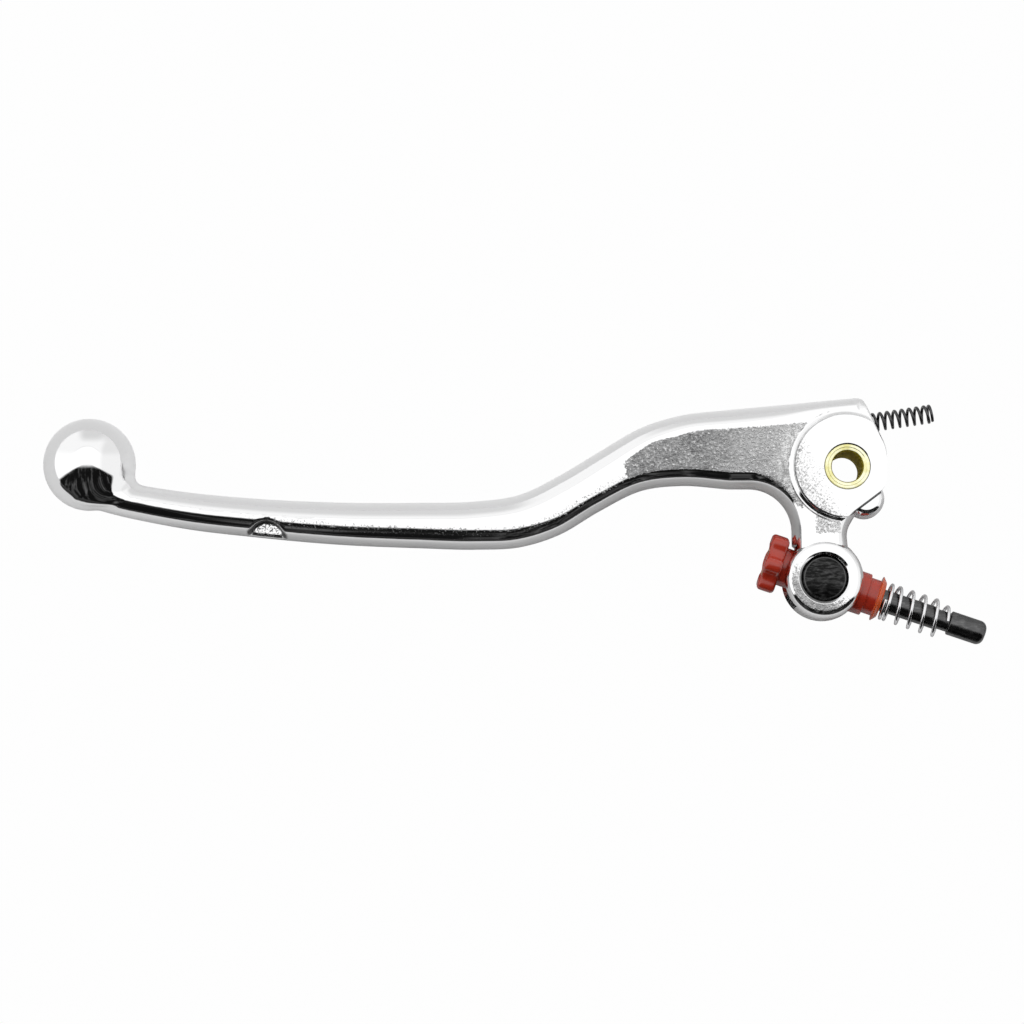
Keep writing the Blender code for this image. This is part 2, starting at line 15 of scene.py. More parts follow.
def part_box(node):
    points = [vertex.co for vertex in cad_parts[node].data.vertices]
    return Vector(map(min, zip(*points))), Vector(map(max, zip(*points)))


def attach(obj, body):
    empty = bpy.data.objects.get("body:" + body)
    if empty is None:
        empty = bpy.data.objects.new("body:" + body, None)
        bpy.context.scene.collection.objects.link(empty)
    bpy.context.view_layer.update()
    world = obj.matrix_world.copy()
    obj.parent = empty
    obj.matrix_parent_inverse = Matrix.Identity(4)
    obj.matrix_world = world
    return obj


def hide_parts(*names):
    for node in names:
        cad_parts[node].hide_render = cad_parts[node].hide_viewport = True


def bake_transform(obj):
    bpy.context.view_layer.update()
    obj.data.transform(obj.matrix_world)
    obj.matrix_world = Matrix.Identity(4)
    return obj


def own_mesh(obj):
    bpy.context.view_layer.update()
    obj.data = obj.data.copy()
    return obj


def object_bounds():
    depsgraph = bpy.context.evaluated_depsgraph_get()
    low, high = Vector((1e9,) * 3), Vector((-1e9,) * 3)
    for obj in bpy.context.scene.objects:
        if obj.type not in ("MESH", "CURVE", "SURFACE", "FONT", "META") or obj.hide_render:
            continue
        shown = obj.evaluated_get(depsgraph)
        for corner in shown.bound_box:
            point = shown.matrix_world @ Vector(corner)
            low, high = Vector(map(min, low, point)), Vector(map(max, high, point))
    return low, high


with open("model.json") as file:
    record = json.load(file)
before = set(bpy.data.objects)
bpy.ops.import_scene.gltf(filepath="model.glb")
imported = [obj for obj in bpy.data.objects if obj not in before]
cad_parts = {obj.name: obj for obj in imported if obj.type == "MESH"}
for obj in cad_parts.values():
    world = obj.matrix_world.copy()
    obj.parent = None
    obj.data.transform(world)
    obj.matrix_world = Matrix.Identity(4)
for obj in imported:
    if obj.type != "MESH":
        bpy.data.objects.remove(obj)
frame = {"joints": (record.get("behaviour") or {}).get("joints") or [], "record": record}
cad_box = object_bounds()

MM = 0.001
JOINTS = {joint["name"]: joint for joint in frame["joints"]}
MOUNTS = {mount["name"]: mount for mount in frame["record"]["mounts"]}
EYE = np.array(JOINTS["barrel_swivel"]["pos_m"]) / MM
ROD_DIRECTION = Vector(JOINTS["rod_advance"]["axis"])
RETURN_DIRECTION = Vector(JOINTS["return_spring_press"]["axis"])
SWIVEL_DEG = JOINTS["barrel_swivel"]["range_deg"][1]
BOSS_HALF = MOUNTS["boss_top"]["pos_m"][2] / MM


# ---------------------------------------------------------------- scene helpers


def new_object(name, mesh, material=None, place=None):
    obj = bpy.data.objects.new(name, mesh)
    bpy.context.scene.collection.objects.link(obj)
    if material:
        mesh.materials.append(material)
    if place is not None:
        obj.matrix_world = place
    return obj


def shade(mesh, sharp_deg=32.0):
    mesh.shade_smooth()
    mesh.set_sharp_from_angle(angle=math.radians(sharp_deg))


def dress(obj, material, sharp_deg=32.0):
    """Give a finished piece its shading and its material."""
    shade(obj.data, sharp_deg)
    obj.data.materials.append(material)
    return obj


def frame_along(origin_mm, direction):
    """A matrix whose local Z runs along direction and whose local X is the row's +Z."""
    z_axis = Vector(direction).normalized()
    x_axis = Vector((0.0, 0.0, 1.0))
    y_axis = z_axis.cross(x_axis)
    matrix = Matrix((x_axis, y_axis, z_axis)).transposed().to_4x4()
    matrix.translation = Vector(origin_mm) * MM
    return matrix


EYE_FRAME = Matrix.Translation(Vector(EYE) * MM)
ROD_FRAME = frame_along(EYE, ROD_DIRECTION)


def smooth_step(low, high, value):
    t = np.clip((value - low) / (high - low), 0.0, 1.0)
    return t * t * (3 - 2 * t)


def smooth_curve(places, values, at):
    """A smooth curve through values at uneven places, read at an array of places."""
    places = np.array(places, float)
    values = np.array(values, float)
    slopes = np.gradient(values, places)
    index = np.clip(np.searchsorted(places, at) - 1, 0, len(places) - 2)
    width = places[index + 1] - places[index]
    t = (at - places[index]) / width
    return (
        (2 * t**3 - 3 * t**2 + 1) * values[index]
        + (t**3 - 2 * t**2 + t) * width * slopes[index]
        + (3 * t**2 - 2 * t**3) * values[index + 1]
        + (t**3 - t**2) * width * slopes[index + 1]
    )


def rounded_corners(corners, arc_step_deg=6.0):
    """Turn (x, y, radius) corners into points, with an arc at each corner that has a radius."""
    points = []
    for index, (x, y, radius) in enumerate(corners):
        corner = Vector((x, y))
        if radius == 0:
            points.append(corner)
            continue
        before = (Vector(corners[index - 1][:2]) - corner).normalized()
        after = (Vector(corners[(index + 1) % len(corners)][:2]) - corner).normalized()
        half = before.angle(after) / 2
        start = corner + before * radius / math.tan(half)
        end = corner + after * radius / math.tan(half)
        centre = corner + (before + after).normalized() * radius / math.sin(half)
        first = start - centre
        turn = first.angle_signed(end - centre)
        steps = max(2, round(abs(math.degrees(turn)) / arc_step_deg))
        for step in range(steps + 1):
            spoke = first.copy()
            spoke.rotate(Matrix.Rotation(-turn * step / steps, 2))
            points.append(centre + spoke)
    return points


def mirrored(upper):
    """A profile completed by its own mirror image below height 0."""
    return upper + [(r, -z, corner) for r, z, corner in reversed(upper)]


def mesh_from(name, shape):
    mesh = bpy.data.meshes.new(name)
    shape.to_mesh(mesh)
    shape.free()
    return mesh


def turned(name, corners, segments=96, place=None, material=None):
    """Turn a profile of (radius, height, corner radius) about Z. A first radius of 0 makes it solid."""
    profile = rounded_corners(corners)
    shape = bmesh.new()
    verts = [shape.verts.new((p.x * MM, 0.0, p.y * MM)) for p in profile]
    for first, second in zip(verts, verts[1:], strict=False):
        shape.edges.new((first, second))
    if corners[0][0] > 0:
        shape.edges.new((verts[-1], verts[0]))
    bmesh.ops.spin(
        shape,
        geom=shape.verts[:] + shape.edges[:],
        cent=(0.0, 0.0, 0.0),
        axis=(0.0, 0.0, 1.0),
        angle=2 * math.pi,
        steps=segments,
        use_duplicate=False,
    )
    bmesh.ops.remove_doubles(shape, verts=shape.verts[:], dist=1e-7)
    bmesh.ops.recalc_face_normals(shape, faces=shape.faces[:])
    mesh = mesh_from(name, shape)
    shade(mesh)
    return new_object(name, mesh, material, place)


def cylinder(name, radius, low, high, segments=96, place=None):
    corners = [(0.0, high, 0.0), (radius, high, 0.0), (radius, low, 0.0), (0.0, low, 0.0)]
    return turned(name, corners, segments, place)


def prism(name, outline, low, high, place=None):
    """A closed outline in millimetres, extruded along Z."""
    shape = bmesh.new()
    bottom = [shape.verts.new((x * MM, y * MM, low * MM)) for x, y in outline]
    face = shape.faces.new(bottom)
    made = bmesh.ops.extrude_face_region(shape, geom=[face])
    lifted = [item for item in made["geom"] if isinstance(item, bmesh.types.BMVert)]
    bmesh.ops.translate(shape, verts=lifted, vec=(0.0, 0.0, (high - low) * MM))
    bmesh.ops.recalc_face_normals(shape, faces=shape.faces[:])
    return new_object(name, mesh_from(name, shape), None, place)


def hexagon(name, flats, low, high, place):
    corner = flats / math.sqrt(3)
    angles = [math.radians(60 * side) for side in range(6)]
    return prism(name, [(corner * math.cos(a), corner * math.sin(a)) for a in angles], low, high, place)


def settle(obj):
    """Move an object's placement into its mesh, so that its own box is the row's box."""
    obj.data.transform(obj.matrix_world)
    obj.matrix_world = Matrix.Identity(4)


def cut(target, cutters, operation="DIFFERENCE"):
    """Apply Booleans to a mesh and remove the cutters."""
    for cutter in cutters:
        modifier = target.modifiers.new("Cut", "BOOLEAN")
        modifier.operation = operation
        modifier.object = cutter
        modifier.solver = "EXACT"
    apply_modifiers(target)
    for cutter in cutters:
        bpy.data.objects.remove(cutter, do_unlink=True)


def apply_modifiers(obj):
    bpy.context.view_layer.update()
    graph = bpy.context.evaluated_depsgraph_get()
    mesh = bpy.data.meshes.new_from_object(obj.evaluated_get(graph))
    mesh.name = obj.name
    obj.modifiers.clear()
    obj.data = mesh


def vertex_rows(mesh, name):
    """The places or the normals of a mesh's vertices, one row each."""
    flat = np.zeros(len(mesh.vertices) * 3)
    mesh.vertices.foreach_get(name, flat)
    return flat.reshape(-1, 3)


def set_attribute(mesh, name, values):
    attribute = mesh.attributes.new(name, "FLOAT", "POINT")
    attribute.data.foreach_set("value", values.astype(np.float32))


# ---------------------------------------------------------------- node helpers


def grey(value):
    return (value, value, value)


class Nodes:
    """Short ways to build one material's node tree."""

    def __init__(self, owner):
        """Owner is a new material's name, or a world that already has nodes."""
        if isinstance(owner, str):
            owner = bpy.data.materials.new(owner)
            owner.use_nodes = True
        self.owner = owner
        self.tree = owner.node_tree
        self.shader = self.tree.nodes.get("Principled BSDF")

    def add(self, kind, **settings):
        node = self.tree.nodes.new(kind)
        for key, value in settings.items():
            setattr(node, key, value)
        return node

    def link(self, source, target):
        self.tree.links.new(source, target)

    def feed(self, socket, value):
        """Set a socket to a number or a colour, or link it to another node's output."""
        if isinstance(value, tuple):
            socket.default_value = (*value, 1.0)
        elif isinstance(value, (int, float)):
            socket.default_value = value
        elif value is not None:
            self.link(value, socket)

    def position(self):
        return self.add("ShaderNodeTexCoord").outputs["Object" if self.shader else "Generated"]

    def xyz(self, unit=1.0):
        """The position's three coordinates, in a unit."""
        split = self.add("ShaderNodeSeparateXYZ")
        self.link(self.position(), split.inputs["Vector"])
        return [self.maths("DIVIDE", split.outputs[name], unit) for name in "XYZ"]

    def stretched(self, scale, rotation=(0.0, 0.0, 0.0)):
        mapping = self.add("ShaderNodeMapping")
        mapping.inputs["Scale"].default_value = scale
        mapping.inputs["Rotation"].default_value = rotation
        self.link(self.position(), mapping.inputs["Vector"])
        return mapping.outputs["Vector"]

    def noise(self, scale, detail=3.0, rough=0.5, vector=None, distortion=0.0):
        node = self.add("ShaderNodeTexNoise")
        node.inputs["Scale"].default_value = scale
        node.inputs["Detail"].default_value = detail
        node.inputs["Roughness"].default_value = rough
        node.inputs["Distortion"].default_value = distortion
        self.link(vector or self.position(), node.inputs["Vector"])
        return node.outputs["Fac"]

    def ramp(self, source, *stops):
        """A value remapped through (place, value) stops."""
        node = self.add("ShaderNodeValToRGB")
        elements = node.color_ramp.elements
        while len(elements) < len(stops):
            elements.new(0.5)
        for element, (at, value) in zip(elements, stops, strict=True):
            element.position = at
            element.color = (*grey(value), 1.0)
        self.link(source, node.inputs["Fac"])
        return node.outputs["Color"]

    def maths(self, operation, first, second=None):
        node = self.add("ShaderNodeMath", operation=operation)
        self.feed(node.inputs[0], first)
        self.feed(node.inputs[1], second)
        return node.outputs["Value"]

    def times(self, first, *others):
        for other in others:
            first = self.maths("MULTIPLY", first, other)
        return first

    def plus(self, first, *others):
        for other in others:
            first = self.maths("ADD", first, other)
        return first

    def minus(self, first, second):
        return self.maths("SUBTRACT", first, second)

    def length(self, first, second):
        squares = [self.maths("POWER", value, 2.0) for value in (first, second)]
        return self.maths("SQRT", self.plus(*squares))

    def distance(self, x, y, centre):
        return self.length(self.minus(x, centre[0]), self.minus(y, centre[1]))

    def mix(self, factor, first, second):
        """Colours mixed by a factor."""
        return self.mixed("RGBA", factor, first, second, 6, 2)

    def between(self, factor, first, second):
        """Values mixed by a factor."""
        return self.mixed("FLOAT", factor, first, second, 2, 0)

    def mixed(self, data_type, factor, first, second, first_socket, output):
        node = self.add("ShaderNodeMix", data_type=data_type)
        for index, value in ((0, factor), (first_socket, first), (first_socket + 1, second)):
            self.feed(node.inputs[index], value)
        return node.outputs[output]

    def step(self, value, low, high):
        """0 below low and 1 above high, smoothly; it falls instead if low is above high."""
        node = self.add("ShaderNodeMapRange", interpolation_type="SMOOTHSTEP")
        node.inputs["From Min"].default_value = min(low, high)
        node.inputs["From Max"].default_value = max(low, high)
        node.inputs["To Min"].default_value = float(low > high)
        node.inputs["To Max"].default_value = float(low < high)
        self.link(value, node.inputs["Value"])
        return node.outputs["Result"]

    def ridge(self, value, centre, half_width):
        """1 at the centre, falling to 0 at half_width either side."""
        offset = self.maths("ABSOLUTE", self.minus(value, centre))
        return self.step(offset, half_width, 0.4 * half_width)

    def attribute(self, name):
        return self.add("ShaderNodeAttribute", attribute_name=name).outputs["Fac"]

    def bump(self, height, strength, distance_mm, normal=None):
        node = self.add("ShaderNodeBump")
        node.inputs["Distance"].default_value = distance_mm * MM
        for name, value in (("Strength", strength), ("Height", height), ("Normal", normal)):
            self.feed(node.inputs[name], value)
        return node.outputs["Normal"]

    def finish(self, colour, metallic, rough, normal=None):
        values = {"Base Color": colour, "Metallic": metallic, "Roughness": rough, "Normal": normal}
        for name, value in values.items():
            self.feed(self.shader.inputs[name], value)
        return self.owner


# ---------------------------------------------------------------- materials


def eye_rim_grain(n, x, y, height):
    """The eye's faces keep their skin on the side away from the blade's finger edge."""
    eye_x, eye_y = n.minus(x, EYE[0]), n.minus(y, EYE[1])
    radius = n.length(eye_x, eye_y)
    towards_skin = n.maths("DIVIDE", n.plus(n.times(eye_x, -0.6), n.times(eye_y, -0.8)), radius)
    on_face = n.step(height, EYE_HALF - 0.25, EYE_HALF - 0.15)
    mouth = EYE_BORE_R + EYE_CHAMFER
    between_edges = n.times(n.step(radius, mouth + 0.02, mouth + 0.1), n.step(radius, 7.2, EYE_RIM_R))
    strength = n.between(n.step(towards_skin, 0.5, 0.85), 0.52, 0.9)
    return n.times(n.step(towards_skin, -0.35, 0.45), on_face, between_edges, strength)


def boss_crease_shade(n, x, y, height, radius, coarse):
    """Painted shade lines in the creases at the foot of the boss's fillet and along its disc, only on the
    left and fullest at the bottom.
    """
    outer = n.ridge(radius, FLANGE_R, 0.20)
    inner = n.ridge(radius, BOSS_R + 0.02, 0.16)
    broken = n.ramp(n.noise(500.0, 4.0, 0.7), (0.44, 0.0), (0.60, 0.85))
    outer = n.times(outer, n.between(n.step(y, -1.0, -5.0), broken, 1.0))
    inner = n.times(inner, n.between(n.step(y, 2.0, -4.0), 0.55, 1.0))
    on_fillet = n.times(n.step(x, -2.5, -5.0), n.step(height, 5.0, 5.6))
    uneven = n.ramp(coarse, (0.3, 0.65), (0.6, 1.0))
    return n.times(n.maths("MAXIMUM", outer, inner), on_fillet, uneven)


def chord_shade_line(n, x, y, height):
    """Painted shade line along the disc's straight side, above the lug."""
    (x0, y0, _), (x1, y1, _) = BOSS_LIMIT[1:3]
    run = math.hypot(x1 - x0, y1 - y0)
    outside = n.minus(n.times(x, (y1 - y0) / run), (x0 * y1 - x1 * y0) / run)
    outside = n.minus(outside, n.times(y, (x1 - x0) / run))
    ends = n.times(n.step(x, 0.2, 1.4), n.step(x, 8.4, 7.8))
    return n.times(n.ridge(outside, 0.02, 0.26), n.step(height, 3.4, 3.6), ends)


def forged_skin(n, x, radius, speck, speck_height):
    """Grey skin with bright specks, wrinkled beside the boss and lighter towards it."""
    glint = n.ramp(speck, (0.55, 0.0), (0.66, 1.0))
    skin = n.mix(speck_height, (0.13, 0.13, 0.132), (0.46, 0.46, 0.463))
    skin = n.mix(glint, skin, grey(0.90))
    wrinkle = n.noise(620.0, 4.0, 0.6, n.stretched((1.0, 0.45, 1.0), (0.0, 0.0, 0.35)), 1.2)
    wrinkled = n.ramp(wrinkle, (0.40, 0.16), (0.49, 0.55), (0.57, 1.0))
    near_boss = n.times(n.step(radius, 15.5, 12.3), 0.8)
    lighter = n.times(n.step(x, -32.0, -17.0), 0.32)
    return n.mix(lighter, n.mix(near_boss, skin, wrinkled), grey(0.82))


def polished_aluminium():
    """Mirror-polished forging whose web, neck and boss faces keep a grainy skin."""
    n = Nodes("polished_aluminium")
    x, y, z = n.xyz(MM)
    height = n.maths("ABSOLUTE", z)
    radius = n.distance(x, y, BOSS_CENTRE)
    coarse = n.noise(1500.0, 3.0, 0.6)
    speck = n.plus(n.times(coarse, 0.6), n.times(n.noise(3800.0, 2.0, 0.7), 0.4))
    speck_height = n.ramp(speck, (0.36, 0.0), (0.64, 1.0))

    # Where the skin stays, with a ragged border
    grain = n.maths("MAXIMUM", n.attribute("grain"), eye_rim_grain(n, x, y, height))
    ragged = n.times(n.minus(n.noise(2300.0, 3.0, 0.65), 0.5), 1.5)
    sparse = n.ramp(n.noise(300.0, 4.0, 0.6), (0.42, 0.0), (0.6, 1.0))
    patchy = n.times(n.step(n.plus(grain, ragged), 0.36, 0.62), n.plus(0.88, n.times(sparse, 0.12)))

    wipe = n.noise(60.0, 3.0, 0.55, n.stretched((1.0, 5.0, 5.0)))
    hairline = n.noise(420.0, 4.0, 0.6, n.stretched((1.0, 14.0, 14.0)))
    polish = n.plus(0.045, n.times(n.ramp(wipe, (0.35, 0.0), (0.75, 1.0)), 0.05))
    polish = n.plus(polish, n.times(n.ramp(hairline, (0.55, 0.0), (0.8, 1.0)), 0.05))
    rough = n.between(patchy, polish, 0.32)
    colour = n.mix(patchy, (0.915, 0.915, 0.918), forged_skin(n, x, radius, speck, speck_height))

    # Painted shade in the creases round the boss.
    colour = n.mix(boss_crease_shade(n, x, y, height, radius, coarse), colour, grey(0.07))
    # Painted shade on the notch's wall and along the disc's straight side, where the surface is also rougher.
    painted_shade = n.maths("MAXIMUM", n.attribute("painted_shade"), chord_shade_line(n, x, y, height))
    colour = n.mix(painted_shade, colour, n.mix(speck_height, grey(0.04), grey(0.14)))
    rough = n.between(painted_shade, rough, 0.35)

    waviness = n.bump(n.noise(55.0, 2.0, 0.5), 0.25, 0.03)
    scratches = n.bump(hairline, 0.12, 0.004, waviness)
    pits = n.bump(speck_height, patchy, 0.10, scratches)
    return n.finish(colour, 1.0, rough, pits)


def pale_brass():
    """Turned brass, rougher and less metallic inside the pivot hole, where painted shade also makes it dark
    olive.
    """
    n = Nodes("pale_brass")
    x, y, _ = n.xyz(MM)
    turning = n.noise(900.0, 2.0, 0.5, n.stretched((1.0, 1.0, 8.0)))
    stain = n.noise(420.0, 4.0, 0.6)
    colour = n.mix(n.ramp(stain, (0.38, 0.0), (0.62, 1.0)), (1.0, 0.985, 0.72), (0.80, 0.75, 0.33))
    bore = n.step(n.length(x, y), BUSH_BORE_R + 0.2, BUSH_BORE_R + 0.05)
    # Painted shade inside the pivot hole: dark olive there.
    colour = n.mix(bore, colour, n.mix(stain, (0.66, 0.56, 0.02), (0.42, 0.35, 0.01)))
    rough = n.plus(0.14, n.times(turning, 0.14), n.times(bore, 0.35))
    metallic = n.minus(1.0, n.times(bore, 0.25))
    return n.finish(colour, metallic, rough, n.bump(turning, 0.25, 0.01))


def black_steel(name, base, worn, rough_range, scratch_direction, highlight_ring_r=None):
    """Black oxide with scratches. The ring radius, if given, places a painted highlight: a lighter narrow
    ring round the eye's axis.
    """
    n = Nodes(name)
    scratch = n.noise(620.0, 5.0, 0.65, n.stretched(scratch_direction))
    cloud = n.ramp(n.noise(500.0, 4.0, 0.6), (0.4, 0.0), (0.7, 1.0))
    wear = n.times(n.ramp(scratch, (0.44, 0.0), (0.66, 1.0)), n.plus(0.35, n.times(cloud, 0.65)))
    colour = n.mix(wear, base, worn)
    if highlight_ring_r:
        x, y, _ = n.xyz(MM)
        # Painted highlight at the edge of the face's chamfer.
        colour = n.mix(n.ridge(n.distance(x, y, EYE), highlight_ring_r, 0.16), colour, grey(0.11))
    low, high = rough_range
    rough = n.plus(low, n.times(cloud, high - low))
    return n.finish(colour, 1.0, rough, n.bump(scratch, 0.35, 0.015))


def red_plastic():
    """Moulded plastic with a fine mould texture, and a painted orange glow on the collar's lip, standing in
    for light through its slender plastic.
    """
    n = Nodes("red_plastic")
    cloud = n.noise(240.0, 3.0, 0.55)
    grain = n.noise(5200.0, 2.0, 0.6)
    colour = n.mix(n.ramp(cloud, (0.3, 0.0), (0.75, 1.0)), (0.40, 0.024, 0.010), (0.52, 0.040, 0.016))
    # Painted glow: brighter orange on the collar's lip, standing in for light passing through it.
    colour = n.mix(n.attribute("painted_glow"), colour, (0.74, 0.10, 0.012))
    n.shader.inputs["Coat Weight"].default_value = 0.5
    n.shader.inputs["Coat Roughness"].default_value = 0.10
    return n.finish(colour, 0.0, n.plus(0.22, n.times(grain, 0.14)), n.bump(grain, 0.25, 0.010))


def spring_wire(name, base, worn, rough_base):
    n = Nodes(name)
    drawn = n.noise(1400.0, 4.0, 0.6)
    colour = n.mix(n.ramp(drawn, (0.4, 0.0), (0.7, 1.0)), base, worn)
    rough = n.plus(rough_base, n.times(drawn, 0.12))
    return n.finish(colour, 1.0, rough, n.bump(drawn, 0.2, 0.006))


def floor_material():
    """Matt white board that the camera sees as evenly lit. Other rays find a painted shadow on the hand side,
    and further out there the board is painted near black.
    """
    n = Nodes("pale_floor")
    x, y, _ = n.xyz()
    # Painted shadow of the lever on the hand side, for rays that are not the camera's.
    painted_shadow = n.times(n.step(y, 0.002, -0.012), n.step(y, -0.058, -0.026), n.step(x, -0.158, -0.125))
    tone = n.mix(painted_shadow, grey(0.97), grey(0.66))
    reach = n.times(n.maths("ABSOLUTE", y), 1.75)
    beside = n.minus(n.maths("ABSOLUTE", n.plus(x, 0.07)), reach)
    # Painted near black further out on the hand side.
    painted_black_far = n.times(n.step(y, -0.058, -0.074), n.step(beside, 0.09, 0.05))
    n.finish(n.mix(painted_black_far, tone, grey(0.01)), 0.0, 0.9)
    lit = n.add("ShaderNodeEmission")
    lit.inputs["Strength"].default_value = 0.99
    choose = n.add("ShaderNodeMixShader")
    n.link(n.add("ShaderNodeLightPath").outputs["Is Camera Ray"], choose.inputs["Fac"])
    n.link(n.shader.outputs["BSDF"], choose.inputs[1])
    n.link(lit.outputs["Emission"], choose.inputs[2])
    n.link(choose.outputs["Shader"], n.tree.nodes["Material Output"].inputs["Surface"])
    return n.owner


# ---------------------------------------------------------------- lever shape

BALL_CENTRE = np.array((-155.9, 1.06, 0.0))
BALL_R = 9.5

# Both ends of the blade and the head along X
LEVER_SPAN = (-158.0, 10.0)

# Place along X, finger edge, hand edge
BLADE_EDGES = (
    (-158.0, -0.6, -6.9),
    (-155.9, -1.0, -7.7),
    (-149.5, -2.6, -9.55),
    (-144.2, -3.45, -10.7),
    (-136.1, -4.65, -12.2),
    (-122.0, -6.0, -13.9),
    (-104.0, -6.85, -15.5),
    (-88.0, -6.9, -16.2),
    (-76.0, -6.6, -16.5),
    (-67.0, -5.2, -16.0),
    (-58.8, -1.2, -13.4),
    (-50.5, 3.8, -8.5),
    (-42.2, 8.6, -4.4),
    (-34.0, 11.2, -3.3),
    (-24.0, 12.4, -4.0),
)
# Half height of the section along X
HALF_HEIGHT = (
    (-158.0, 5.2),
    (-144.0, 5.6),
    (-122.0, 6.1),
    (-90.0, 6.3),
    (-60.0, 6.1),
    (-36.0, 5.95),
    (-16.0, 6.05),
    (10.0, 6.05),
)

# Corners of the head: x, y, corner radius
HEAD_CORNERS = (
    (3.3, 14.9, 1.6),
    (8.5, 3.8, 8.0),
    (7.9, -4.2, 2.4),
    (2.6, -8.5, 1.2),
    (0.1, -12.8, 5.0),
    (0.9, -20.5, 0.0),
    (-11.0, -20.5, 0.0),
    (-11.1, -4.0, 8.8),
)

# How far the rounding reaches in from the finger edge and from the hand edge, along X
ROUND_DEPTH = (
    (-158.0, 3.6, 3.6),
    (-149.5, 4.0, 3.4),
    (-136.0, 4.5, 3.3),
    (-122.0, 4.8, 3.4),
    (-104.0, 5.1, 3.6),
    (-88.0, 5.3, 3.8),
    (-76.0, 5.4, 3.8),
    (-67.0, 5.4, 3.6),
    (-58.8, 5.3, 3.3),
    (-50.5, 5.0, 3.1),
    (-42.0, 4.6, 3.2),
    (-34.0, 4.3, 3.2),
    (-14.0, 4.0, 2.9),
    (-8.0, 3.0, 2.4),
    (10.0, 2.6, 2.3),
)
ROUND_POWER = 2.05
END_ROUND = 0.9
END_POWER = 4.0
BOSS_CENTRE = (-0.3, 0.15)
BOSS_R = 10.45
FLANGE_R = 11.7
# The raised disc stops at these corners: x, y, corner radius
BOSS_LIMIT = (
    (-14.0, -14.0, 0.0),
    (-3.4, -12.85, 0.0),
    (7.75, -4.5, 4.0),
    (8.1, 3.4, 8.0),
    (2.9, 13.4, 0.0),
    (-14.0, 14.0, 0.0),
)
BOSS_BORE_R = 4.72
FILLET_TILT_DEG = 76.0
FILLET_STEPS = 8
EYE_R = 8.25
EYE_HALF = 6.6
EYE_RIM_R = 6.6
EYE_BORE_R = 4.87
EYE_CHAMFER = 0.5
LUG = (4.05, -6.2)
LUG_R = 3.9
LUG_HALF = 4.0
NOTCH = (-119.0, -14.3)
NOTCH_R = 3.2
NOTCH_EDGE = 0.8
NOTCH_WEB = 1.8
SLOT_HALF_WIDTH = 4.8
SLOT_REACH = 12.0
# Between these heights along Y the head plate passes into the neck
NECK_TOP = (-9.5, -7.5)
SPRING_HOLE_R = 2.35
RETURN_MOUTH = (7.2, 10.05, 0.0)
RETURN_HOLE_DEPTH = 6.0

# How far the web's skin stays from the finger edge and from the hand edge: place along X, inset
FINGER_INSET = (
    (-45.0, 4.6),
    (-43.5, 4.4),
    (-39.5, 3.9),
    (-35.0, 4.3),
    (-29.5, 4.0),
    (-17.5, 4.3),
)
HAND_INSET = (
    (-40.0, 2.5),
    (-20.0, 2.6),
    (-14.0, 1.5),
)


def lever_outline():
    """Dense points and outward normals of the lever's outline, finger edge first."""
    places, finger, hand = zip(*BLADE_EDGES, strict=True)
    along = np.arange(places[0], places[-1] + 0.01, 0.5)
    top = [Vector((x, y)) for x, y in zip(along, smooth_curve(places, finger, along), strict=True)]
    bottom = [Vector((x, y)) for x, y in zip(along, smooth_curve(places, hand, along), strict=True)]
    ends = [(top[-1].x, top[-1].y, 0.0), *HEAD_CORNERS, (bottom[-1].x, bottom[-1].y, 0.0)]
    head = rounded_corners(ends, arc_step_deg=1.0)
    points = np.array([tuple(p) for p in top + head[1:-1] + bottom[::-1]])
    closed = np.vstack((points, points[:1]))
    steps = np.linalg.norm(np.diff(closed, axis=0), axis=1)
    length = np.concatenate(([0.0], np.cumsum(steps)))
    even = np.arange(0.0, length[-1], 0.05)
    dense = np.stack([np.interp(even, length, closed[:, axis]) for axis in (0, 1)], axis=1)
    # A short running mean takes out the corners between the curve's own points.
    window = 9
    kernel = np.ones(window) / window
    padded = np.vstack((dense[-window:], dense, dense[:window]))
    smooth = np.stack([np.convolve(padded[:, axis], kernel, "same") for axis in (0, 1)], axis=1)
    dense = smooth[window:-window]
    tangent = np.roll(dense, -3, axis=0) - np.roll(dense, 3, axis=0)
    tangent /= np.linalg.norm(tangent, axis=1)[:, None]
    normals = np.stack((-tangent[:, 1], tangent[:, 0]), axis=1)
    return dense, normals



def outline_tree(points):
    tree = kdtree.KDTree(len(points))
    for index, (x, y) in enumerate(points):
        tree.insert((x, y, 0.0), index)
    tree.balance()
    return tree


OUTLINE, OUTLINE_NORMALS = lever_outline()
OUTLINE_TREE = outline_tree(OUTLINE)


def nearest_on_outline(points):
    """Index of the outline point nearest to each (x, y)."""
    find = OUTLINE_TREE.find
    return np.array([find((x, y, 0.0))[1] for x, y in points])


def smooth_min(first, second, radius):
    blend = np.clip(0.5 + 0.5 * (second - first) / radius, 0.0, 1.0)
    return second * (1 - blend) + first * blend - radius * blend * (1 - blend)


